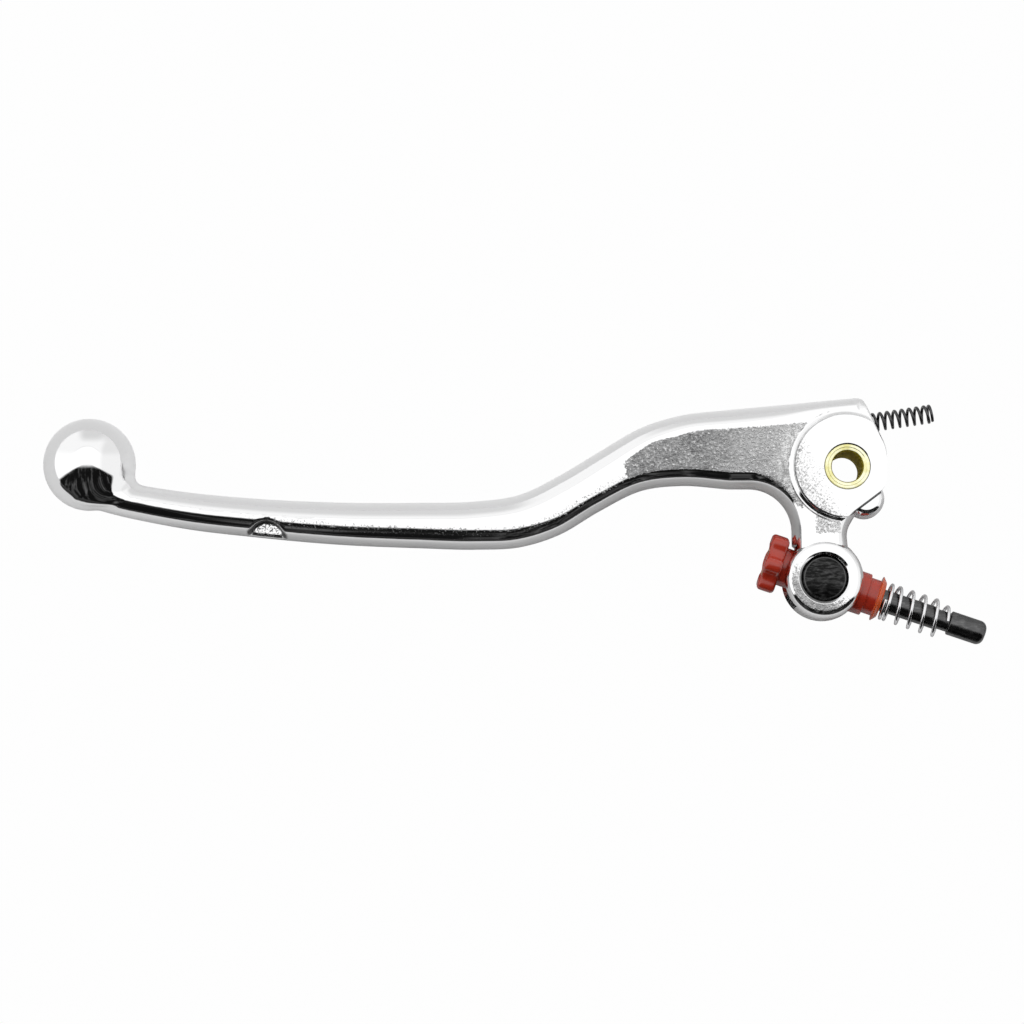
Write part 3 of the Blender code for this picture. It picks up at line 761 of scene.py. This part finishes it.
def lever_field(x, y, z, depth, facing):
    """Signed distance to the forging's blade, head plate, neck and ball.

    depth is the distance to the outline, and facing says how much the outline there faces the finger side.
    """
    height = np.sqrt(z * z + 0.02)
    along = np.clip(x, *LEVER_SPAN)
    half = smooth_curve(*zip(*HALF_HEIGHT, strict=True), along)
    end = smooth_step(2.5, 4.5, x) * smooth_step(*NECK_TOP, y)
    places, finger_depth, hand_depth = zip(*ROUND_DEPTH, strict=True)
    finger_depth = smooth_curve(places, finger_depth, along)
    round_depth = smooth_curve(places, hand_depth, along)
    round_depth = round_depth + (finger_depth - round_depth) * smooth_step(-0.4, 0.4, facing)
    round_depth = round_depth + (END_ROUND - round_depth) * end
    power = ROUND_POWER + (END_POWER - ROUND_POWER) * end
    reach = np.maximum(0.0, 1 + depth / round_depth)
    rise = height / half
    size = np.maximum(reach**power + rise**power, 1e-9) ** (1 / power)
    slope_across = size ** (1 - power) * reach ** (power - 1) / round_depth
    slope_up = size ** (1 - power) * rise ** (power - 1) / half
    plate = (size - 1) / np.maximum(np.hypot(slope_across, slope_up), 0.08)
    ball = np.sqrt((x - BALL_CENTRE[0]) ** 2 + (y - BALL_CENTRE[1]) ** 2 + z * z) - BALL_R
    notch = np.hypot(x - NOTCH[0], y - NOTCH[1]) - NOTCH_R
    notch = -smooth_min(-notch, height - NOTCH_WEB, 0.4)
    # The blade meets the ball tangentially at the hand edge, where a wide blend would bulge.
    tangent = smooth_step(-3.5, -7.0, y) * smooth_step(5.0, 2.5, height)
    body = smooth_min(plate, ball, 3.2 - 2.8 * tangent)
    return -smooth_min(-body, notch, NOTCH_EDGE)


def surface_net(field, axes):
    """Vertices and quads of the zero surface of a field on a grid with uneven spacing."""
    inside = field < 0
    crossing = np.zeros(tuple(np.array(field.shape) - 1), bool)
    corners = [(i, j, k) for i in (0, 1) for j in (0, 1) for k in (0, 1)]

    def shifted(array, offset):
        slices = tuple(slice(o, array.shape[a] - 1 + o) for a, o in enumerate(offset))
        return array[slices]

    first = shifted(inside, (0, 0, 0))
    for corner in corners[1:]:
        crossing |= shifted(inside, corner) != first
    cells = np.argwhere(crossing)
    number = np.full(crossing.shape, -1, np.int64)
    number[crossing] = np.arange(len(cells))

    total = np.zeros((len(cells), 3))
    count = np.zeros(len(cells))
    for axis in range(3):
        for a in (0, 1):
            for b in (0, 1):
                low = np.zeros(3, int)
                others = [o for o in range(3) if o != axis]
                low[others[0]], low[others[1]] = a, b
                high = low.copy()
                high[axis] = 1
                at_low = cells + low
                at_high = cells + high
                f_low = field[tuple(at_low.T)]
                f_high = field[tuple(at_high.T)]
                cut_here = (f_low < 0) != (f_high < 0)
                share = np.where(cut_here, f_low / np.where(cut_here, f_low - f_high, 1.0), 0.0)
                for o in range(3):
                    p_low = axes[o][at_low[:, o]]
                    p_high = axes[o][at_high[:, o]]
                    total[:, o] += np.where(cut_here, p_low + share * (p_high - p_low), 0.0)
                count += cut_here
    vertices = total / count[:, None]

    quads = []
    for axis in range(3):
        others = [o for o in range(3) if o != axis]
        low = [slice(1, -1)] * 3
        low[axis] = slice(0, -1)
        high = [slice(1, -1)] * 3
        high[axis] = slice(1, None)
        start_inside = inside[tuple(low)]
        changes = np.argwhere(start_inside != inside[tuple(high)])
        base = changes.copy()
        for o in others:
            base[:, o] += 1
        around = []
        for a, b in ((0, 0), (1, 0), (1, 1), (0, 1)):
            cell = base.copy()
            cell[:, others[0]] -= a
            cell[:, others[1]] -= b
            around.append(number[tuple(cell.T)])
        quad = np.stack(around, axis=1)
        outward = start_inside[tuple(changes.T)]
        flip = outward if axis != 1 else ~outward
        quad[~flip] = quad[~flip][:, ::-1]
        quads.append(quad)
    return vertices, np.vstack(quads)


def grid_lines(low, high, spacing_at):
    lines = [low]
    while lines[-1] < high:
        lines.append(lines[-1] + spacing_at(lines[-1]))
    return np.array(lines)


def lever_axes():
    """Grid lines, closest together round the ball, the notch and the head."""

    def spacing(x):
        near_ball = smooth_step(-140.0, -147.0, x)
        near_notch = smooth_step(9.0, 5.0, abs(x - NOTCH[0]))
        near_head = smooth_step(-62.0, -50.0, x)
        return 0.85 - 0.4 * near_ball - 0.52 * near_notch - 0.5 * near_head

    return [
        grid_lines(-166.0, 10.4, spacing),
        np.arange(-22.0, 16.0, 0.31),
        np.arange(-9.93, 10.1, 0.31),
    ]


def forged_mesh():
    axes = lever_axes()
    flat = np.stack(np.meshgrid(axes[0], axes[1], indexing="ij"), axis=-1).reshape(-1, 2)
    index = nearest_on_outline(flat)
    offset = flat - OUTLINE[index]
    # The outline's normal gives the sign, and the nearest point gives the distance.
    depth = np.sign((offset * OUTLINE_NORMALS[index]).sum(axis=1)) * np.hypot(*offset.T)
    shape = (len(axes[0]), len(axes[1]), 1)
    depth = depth.reshape(shape)
    facing = OUTLINE_NORMALS[index][:, 1].reshape(shape)
    x = axes[0][:, None, None]
    y = axes[1][None, :, None]
    z = axes[2][None, None, :]
    vertices, quads = surface_net(lever_field(x, y, z, depth, facing), axes)

    # Newton steps put every vertex on the exact surface, so that reflections run smoothly.
    index = nearest_on_outline(vertices[:, :2])
    base, normal = OUTLINE[index], OUTLINE_NORMALS[index]

    def at(points):
        near = ((points[:, :2] - base) * normal).sum(axis=1)
        return lever_field(points[:, 0], points[:, 1], points[:, 2], near, normal[:, 1])

    nudge = 0.002
    for _ in range(4):
        value = at(vertices)
        slope = np.zeros_like(vertices)
        for axis in range(3):
            nudged = vertices.copy()
            nudged[:, axis] += nudge
            slope[:, axis] = (at(nudged) - value) / nudge
        step = value[:, None] * slope / np.maximum((slope**2).sum(axis=1), 0.2)[:, None]
        vertices -= np.clip(step, -0.12, 0.12)

    mesh = bpy.data.meshes.new("lever_forging")
    mesh.from_pydata((vertices * MM).tolist(), [], quads.tolist())
    mesh.validate()
    return mesh



def oval_edge(flat_r, out_r, half, up, steps=10):
    """Upper half of an upright solid's oval rim, from flat_r on its flat end to out_r on its wall."""
    tilts = [math.radians(90.0 * step / steps) for step in range(steps + 1)]
    width, wall_top = out_r - flat_r, half - up
    return [(flat_r + width * math.sin(tilt), wall_top + up * math.cos(tilt), 0.0) for tilt in tilts]


def slot_cutter(name, base_deg, half_height):
    """The space that a straight part through the eye sweeps on one side of the barrel."""
    slope = math.degrees(math.atan2(ROD_DIRECTION.y, ROD_DIRECTION.x))
    low = math.radians(base_deg + slope)
    high = math.radians(base_deg + slope + SWIVEL_DEG)
    first = Vector(EYE[:2]) + Vector((math.sin(low), -math.cos(low))) * SLOT_HALF_WIDTH
    last = Vector(EYE[:2]) + Vector((-math.sin(high), math.cos(high))) * SLOT_HALF_WIDTH
    reach_first = Vector((math.cos(low), math.sin(low))) * SLOT_REACH
    reach_last = Vector((math.cos(high), math.sin(high))) * SLOT_REACH
    return prism(name, (first, first + reach_first, last + reach_last, last), -half_height, half_height)


def bore_cutter(name, radius, half, chamfer, above, place=None):
    """A round hole with a chamfer at both mouths. The chamfer's slope runs on above them."""
    mouth = radius + chamfer
    upper = [(0.0, half + above, 0.0), (mouth + above, half + above, 0.0), (mouth, half, 0.0)]
    upper += [(radius, half - chamfer, 0.0)]
    return turned(name, mirrored(upper), 128, place)


def boss_solid():
    """The raised disc round the pivot with a filleted foot, stopping short of the head's own edge."""
    fillet = FLANGE_R - BOSS_R
    arc_centre = BOSS_HALF - 1.0 + fillet
    upper = [(0.0, BOSS_HALF, 0.0), (BOSS_R, BOSS_HALF, 0.0)]
    for step in range(FILLET_STEPS + 1):
        tilt = math.radians(FILLET_TILT_DEG * (1 - step / FILLET_STEPS))
        upper.append((FLANGE_R - fillet * math.sin(tilt), arc_centre - fillet * math.cos(tilt), 0.0))
    upper += [(FLANGE_R, 5.2, 0.0), (BOSS_R - 0.5, 4.8, 0.0)]
    place = Matrix.Translation(Vector((*BOSS_CENTRE, 0.0)) * MM)
    boss = turned("boss", mirrored(upper), 192, place)
    limit = prism("boss_limit", rounded_corners(BOSS_LIMIT), -BOSS_HALF - 1, BOSS_HALF + 1)
    cut(boss, [limit], "INTERSECT")
    return boss


def eye_solid():
    """The eye's outside: oval rims, and a skin at each end that falls slightly outwards."""
    rims = oval_edge(EYE_RIM_R, EYE_R, EYE_HALF - 0.12, 3.7)
    upper = [(0.0, EYE_HALF, 0.0), (EYE_BORE_R, EYE_HALF, 0.0), *rims]
    return turned("eye", mirrored(upper), 192, EYE_FRAME)


def lug_solid():
    upper = [(0.0, LUG_HALF, 0.0), *oval_edge(LUG_R - 1.5, LUG_R, LUG_HALF, 2.4)]
    return turned("lug", mirrored(upper), 96, Matrix.Translation(Vector((*LUG, 0.0)) * MM))


def make_lever(material):
    lever = new_object("lever_forging", forged_mesh())
    cut(lever, [boss_solid(), eye_solid(), lug_solid()], "UNION")
    drill_half = 8.0
    drill_at = Vector(RETURN_MOUTH) + RETURN_DIRECTION * (drill_half - RETURN_HOLE_DEPTH)
    drill_frame = frame_along(drill_at, RETURN_DIRECTION)
    cutters = [
        bore_cutter("pivot_bore", BOSS_BORE_R, BOSS_HALF, 0.08, 2.0),
        bore_cutter("eye_opening", EYE_BORE_R, EYE_HALF, EYE_CHAMFER, 1.0, EYE_FRAME),
        slot_cutter("rod_slot", 0.0, 4.8),
        slot_cutter("knob_slot", 180.0, 4.3),
        cylinder("spring_hole", SPRING_HOLE_R, -drill_half, drill_half, 48, drill_frame),
    ]
    cut(lever, cutters)
    mark_skin(lever.data)
    return dress(lever, material, 28.0)


def mark_skin(mesh):
    """Mark where the forging keeps its grainy skin, and where painted shade darkens the notch's wall."""
    places = vertex_rows(mesh, "co") / MM
    index = nearest_on_outline(places[:, :2])
    inside = -((places[:, :2] - OUTLINE[index]) * OUTLINE_NORMALS[index]).sum(axis=1)
    facing = OUTLINE_NORMALS[index][:, 1]
    x, y, z = places.T
    height = np.abs(z)
    from_boss = np.hypot(x - BOSS_CENTRE[0], y - BOSS_CENTRE[1])

    finger_inset = np.interp(x, *zip(*FINGER_INSET, strict=True))
    hand_inset = np.interp(x, *zip(*HAND_INSET, strict=True))
    web = smooth_step(0.0, 0.6, inside - np.where(facing > 0, finger_inset, hand_inset))
    web *= smooth_step(-46.9, -45.3, x + 0.33 * (y - 2.0)) * (x < 2.0)
    web *= 1.0 - 0.3 * smooth_step(-34.0, -14.0, x)
    web *= smooth_step(4.3, 5.2, height) * (from_boss > FLANGE_R - 0.05) * smooth_step(*NECK_TOP, y)
    band = 0.35 * (facing < 0) * smooth_step(1.7, 2.4, inside) * smooth_step(4.6, 3.6, inside)
    band *= smooth_step(-135.0, -118.0, x) * smooth_step(-38.0, -46.0, x) * (height > 3.0)
    neck = 0.58 * smooth_step(3.0, 2.3, np.abs(x + 4.0)) * (from_boss > FLANGE_R - 0.4)
    neck *= smooth_step(-14.2, -13.4, y) * (y < -8.0) * smooth_step(5.2, 5.9, height)
    boss = 0.54 * smooth_step(-1.0, -9.5, x + 0.5 * y)
    boss *= (from_boss < BOSS_R + 0.2) * (height > BOSS_HALF - 0.3)

    from_notch = np.hypot(x - NOTCH[0], y - NOTCH[1])
    facing_up = np.abs(vertex_rows(mesh, "normal")[:, 2])
    floor = 0.42 * (from_notch < NOTCH_R) * smooth_step(0.6, 0.8, facing_up) * (height < 3.0)
    # The notch's wall gets painted shade.
    wall = smooth_step(0.62, 0.40, facing_up) * smooth_step(NOTCH_R + 1.0, NOTCH_R + 0.8, from_notch)
    set_attribute(mesh, "grain", np.maximum(np.clip(web + band + neck + boss, 0.0, 1.0), floor))
    set_attribute(mesh, "painted_shade", wall * (height > NOTCH_WEB + 0.15))


# ---------------------------------------------------------------- other pieces

BUSH_BORE_R = 3.2
BARREL_R = 4.78
BARREL_FACE_R = 4.2
# Places along the push rod's axis are measured from the eye's axis.
ROD_HOLE_R = 2.8
HUB_R = 4.0
KNOB_NEAR = -8.9
KNOB_FAR = -12.6
ROD_BACK = -12.3
ROD_NOSE = 35.05
SHAFT_LOW = 8.2
SHAFT_HIGH = 24.4
RETURN_VISIBLE = 10.9
RETURN_SEAT = RETURN_HOLE_DEPTH - 0.6


def make_bush(material):
    low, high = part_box("pivot_bush")
    half = (high.z - low.z) / 2 / MM
    step_r = 3.92
    upper = [
        (high.x / MM, half, 0.2),
        (step_r + 0.1, half, 0.0),
        (step_r, half - 0.1, 0.0),
        (BUSH_BORE_R + 0.18, half - 0.14, 0.1),
        (BUSH_BORE_R, half - 0.45, 0.1),
    ]
    return turned("bush_ring", mirrored(upper), 128, None, material)


def make_barrel(material):
    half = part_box("swivel_barrel")[1].z / MM
    upper = [
        (0.0, half, 0.0),
        (BARREL_FACE_R - 0.1, half, 0.0),
        (BARREL_FACE_R, half - 0.06, 0.0),
        (BARREL_R, half - 0.6, 0.2),
    ]
    barrel = turned("barrel_pin", mirrored(upper), 96, EYE_FRAME)
    cut(barrel, [cylinder("rod_hole", ROD_HOLE_R, -8.0, 8.0, 48, ROD_FRAME)])
    return dress(barrel, material)


def make_collar(material):
    profile = [
        (0.0, 12.7, 0.0),
        (3.7, 12.7, 0.15),
        (4.68, 11.85, 0.08),
        (4.68, 11.7, 0.05),
        (3.75, 11.6, 0.2),
        (3.75, 9.4, 0.15),
        (4.4, 9.4, 0.25),
        (4.4, 0.0, 0.0),
        (0.0, 0.0, 0.0),
    ]
    collar = turned("collar_body", profile, 96, ROD_FRAME)
    saddle = cylinder("saddle", 5.15, -9.0, 9.0, 96, EYE_FRAME)
    cut(collar, [saddle, hexagon("hex_bore", 5.7, 0.0, 20.0, ROD_FRAME)])
    along = vertex_rows(collar.data, "co")[:, 2] / MM
    # The lip is marked for a painted glow of light through its slender plastic.
    set_attribute(collar.data, "painted_glow", (along > 11.5) & (along < 13.0))
    return dress(collar, material)


def star_outline(mean, lobe, lobes, first_deg, squareness=1.3, count=216):
    """A round outline with full lobes and scallops of about the same width."""
    points = []
    for step in range(count):
        angle = 2 * math.pi * step / count
        wave = math.tanh(squareness * math.cos(lobes * (angle - math.radians(first_deg))))
        radius = mean + lobe * wave / math.tanh(squareness)
        points.append((radius * math.cos(angle), radius * math.sin(angle)))
    return points


def make_knob(material):
    """The star wheel and its hub, hollowed for the insert. It has no value for the collar's painted glow,
    which then reads as 0.
    """
    knob = prism("star_knob", star_outline(5.65, 0.75, 6, 10.0), KNOB_FAR, KNOB_NEAR, ROD_FRAME)
    rounding = knob.modifiers.new("Round", "BEVEL")
    rounding.width = 0.8 * MM
    rounding.segments = 5
    rounding.limit_method = "ANGLE"
    rounding.angle_limit = math.radians(60)
    apply_modifiers(knob)
    hub_profile = [(0.0, -5.15, 0.0), (HUB_R, -5.15, 0.3), (HUB_R, -9.5, 0.0), (0.0, -9.5, 0.0)]
    cut(knob, [turned("hub", hub_profile, 64, ROD_FRAME)], "UNION")
    dish_profile = [(0.0, -12.2, 0.0), (4.6, -12.2, 0.2), (5.0, -13.5, 0.0), (0.0, -13.5, 0.0)]
    dish = turned("dish", dish_profile, 64, ROD_FRAME)
    pocket = cylinder("pocket", HUB_R, -14.0, -9.1, 64, ROD_FRAME)
    hole = cylinder("thread_hole", ROD_HOLE_R, -14.0, 0.0, 48, ROD_FRAME)
    cut(knob, [dish, pocket, hole])
    return dress(knob, material)


def make_insert(material):
    near, outer, inner = -9.4, 3.8, 2.7
    profile = [(outer, ROD_BACK, 0.15), (outer, near, 0.15), (inner, near, 0.1), (inner, ROD_BACK, 0.3)]
    return turned("insert_ring", profile, 64, ROD_FRAME, material)


def make_rod(material):
    profile = [
        (0.0, ROD_NOSE, 0.0),
        (2.5, ROD_NOSE, 1.55),
        (2.5, 27.4, 0.25),
        (2.0, 27.2, 0.1),
        (2.0, 24.6, 0.1),
        (2.3, SHAFT_HIGH, 0.0),
        (2.3, 8.6, 0.0),
        (2.5, 8.3, 0.0),
        (2.5, -12.0, 0.1),
        (2.2, ROD_BACK, 0.05),
        (0.0, ROD_BACK, 0.0),
    ]
    limit_profile = [
        (0.0, SHAFT_HIGH, 0.0),
        (2.45, SHAFT_HIGH, 0.0),
        (3.2, SHAFT_HIGH - 0.7, 0.0),
        (3.2, SHAFT_LOW + 0.5, 0.0),
        (2.6, SHAFT_LOW, 0.0),
        (0.0, SHAFT_LOW, 0.0),
    ]
    rod = turned("rod_body", profile, 64, ROD_FRAME)
    shaft = hexagon("shaft", 5.4, SHAFT_LOW, SHAFT_HIGH, ROD_FRAME)
    cut(shaft, [turned("shaft_limit", limit_profile, 64, ROD_FRAME)], "INTERSECT")
    cut(rod, [shaft], "UNION")
    return dress(rod, material)


def coil(name, material, place, radius_at, height_at, turns, wire, steps=40):
    """A wire of radius wire, wound about Z. Radius and height are functions of the number of turns so far."""
    count = round(turns * steps)
    curve = bpy.data.curves.new(name, "CURVE")
    curve.dimensions = "3D"
    curve.bevel_depth = wire * MM
    curve.bevel_resolution = 4
    curve.use_fill_caps = True
    spline = curve.splines.new("POLY")
    spline.points.add(count)
    for step, point in enumerate(spline.points):
        turn = turns * step / count
        angle = 2 * math.pi * turn
        radius = radius_at(turn) * MM
        point.co = (radius * math.cos(angle), radius * math.sin(angle), height_at(turn) * MM, 1.0)
    holder = new_object(name, curve)
    graph = bpy.context.evaluated_depsgraph_get()
    shape = bmesh.new()
    shape.from_mesh(bpy.data.meshes.new_from_object(holder.evaluated_get(graph)))
    bpy.data.objects.remove(holder, do_unlink=True)
    bmesh.ops.remove_doubles(shape, verts=shape.verts[:], dist=1e-7)
    bmesh.ops.recalc_face_normals(shape, faces=shape.faces[:])
    mesh = mesh_from(name, shape)
    shade(mesh, 50.0)
    return new_object(name, mesh, material, place)


def make_rod_spring(material):
    start, end = 13.35, 26.8
    closed_turns, closed_pitch, open_turns = 1.25, 0.8, 4.75
    turns = closed_turns + open_turns
    open_pitch = (end - start - closed_turns * closed_pitch) / open_turns

    def height_at(turn):
        return start + min(turn, closed_turns) * closed_pitch + max(turn - closed_turns, 0.0) * open_pitch

    def radius_at(turn):
        closing = max(turn - turns + 1.0, 0.0)
        return 3.65 - 1.1 * closing**2

    return coil("rod_spring_wire", material, ROD_FRAME, radius_at, height_at, turns, 0.35)


def make_return_spring(material):
    pitch, closing_pitch = 1.53, 0.72
    open_turns = (RETURN_VISIBLE - closing_pitch + RETURN_SEAT) / pitch

    def height_at(turn):
        return -RETURN_SEAT + min(turn, open_turns) * pitch + max(turn - open_turns, 0.0) * closing_pitch

    place = frame_along(RETURN_MOUTH, RETURN_DIRECTION)
    return coil("return_spring_wire", material, place, lambda turn: 1.69, height_at, open_turns + 1.0, 0.31)


# ---------------------------------------------------------------- stage

FLOOR_HALF = 3.0
CAMERA_PLACE = (-0.06867, -0.08429, 0.73997)
CAMERA_TILT_DEG = 5.83
CAMERA_LENS = 126.8


def make_stage():
    low = cad_box[0].z
    corners = [(x * FLOOR_HALF, y * FLOOR_HALF, low) for x, y in ((-1, -1), (1, -1), (1, 1), (-1, 1))]
    mesh = bpy.data.meshes.new("floor")
    mesh.from_pydata(corners, [], [(0, 1, 2, 3)])
    floor = new_object("floor", mesh, floor_material())


def make_camera():
    data = bpy.data.cameras.new("camera")
    data.sensor_width = 36.0
    data.lens = CAMERA_LENS
    data.clip_start = 0.01
    data.clip_end = 20.0
    camera = new_object("camera", data)
    camera.location = CAMERA_PLACE
    camera.rotation_euler = (math.radians(CAMERA_TILT_DEG), 0.0, 0.0)
    scene = bpy.context.scene
    scene.camera = camera
    scene.view_settings.view_transform = "Standard"
    scene.view_settings.look = "None"


def make_light():
    """A white tent: brightest overhead, greyer at the back and right, open and dark on the hand side."""
    world = bpy.data.worlds.new("tent")
    bpy.context.scene.world = world
    world.use_nodes = True
    n = Nodes(world)
    x, y, z = n.xyz()

    # The tent's walls are a little darker than its roof, with a seam between them at the back.
    walls = n.times(n.step(z, 0.80, 0.70), n.step(y, 0.22, 0.50))
    seam = n.times(n.ridge(z, 0.757, 0.022), n.step(y, 0.35, 0.55))
    # The back wall is seen towards +Y and fades to the left.
    back = n.times(n.step(y, 0.74, 0.96), n.step(x, -0.42, -0.12))
    right = n.step(x, 0.44, 0.66)
    level = 1.14
    for mask, darker in ((walls, 0.12), (seam, 0.16), (back, 0.29), (right, 0.17)):
        level = n.minus(level, n.times(mask, darker))

    # Open side, towards -Y
    hand = n.times(y, -1.0)
    spread = n.maths("DIVIDE", n.maths("ABSOLUTE", x), n.maths("MAXIMUM", hand, 0.001))
    opening = n.times(n.step(spread, 2.6, 1.4), n.step(hand, -0.06, 0.30))
    opening = n.times(n.step(opening, 0.20, 0.75), n.step(hand, 0.02, 0.28))
    streaks = n.noise(3.0, 3.0, 0.6, n.stretched((3.0, 0.6, 0.6)))
    room = n.times(n.ramp(streaks, (0.5, 0.0), (0.72, 1.0)), 0.12)
    level = n.between(opening, level, n.plus(0.006, room))

    # The camera itself sees plain white behind the floor.
    shown = n.between(n.add("ShaderNodeLightPath").outputs["Is Camera Ray"], level, 0.99)
    background = n.tree.nodes["Background"]
    n.link(shown, background.inputs["Strength"])
    background.inputs["Color"].default_value = (1.0, 1.0, 1.0, 1.0)


# ---------------------------------------------------------------- assembly


def main():
    make_camera()
    make_light()
    make_stage()

    aluminium = polished_aluminium()
    brass = pale_brass()
    red = red_plastic()
    dark, worn = grey(0.014), grey(0.12)
    barrel_black = black_steel("barrel_black", dark, worn, (0.26, 0.42), (1.0, 3.2, 1.0), BARREL_FACE_R)
    rod_black = black_steel("rod_black", (0.095, 0.095, 0.096), grey(0.20), (0.20, 0.34), (1.0, 3.0, 3.0))
    bright_wire = spring_wire("bright_wire", (0.86, 0.86, 0.87), (0.74, 0.74, 0.75), 0.10)
    dark_wire = spring_wire("dark_wire", (0.10, 0.10, 0.103), (0.06, 0.06, 0.06), 0.18)

    pieces = (
        (make_lever(aluminium), "lever", "lever_body", "polished_aluminium"),
        (make_bush(brass), "pivot_bush", "lever_body", "brass"),
        (make_barrel(barrel_black), "swivel_barrel", "barrel_body", "black_steel"),
        (make_collar(red), "guide_collar", "barrel_body", "red_plastic"),
        (make_knob(red), "adjuster_knob", "knob_body", "red_plastic"),
        (make_insert(brass), "knob_insert", "knob_body", "brass"),
        (make_rod(rod_black), "push_rod", "rod_body", "black_steel"),
    )
    for piece, node, body, slot in pieces:
        settle(piece)
        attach(piece, body)
        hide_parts(node)

    rod_spring = make_rod_spring(bright_wire)
    settle(rod_spring)
    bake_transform(rod_spring)
    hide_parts("push_rod_spring")

    return_spring = make_return_spring(dark_wire)
    settle(return_spring)
    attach(return_spring, "lever_body")
    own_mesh(return_spring)
    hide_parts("return_spring")


main()
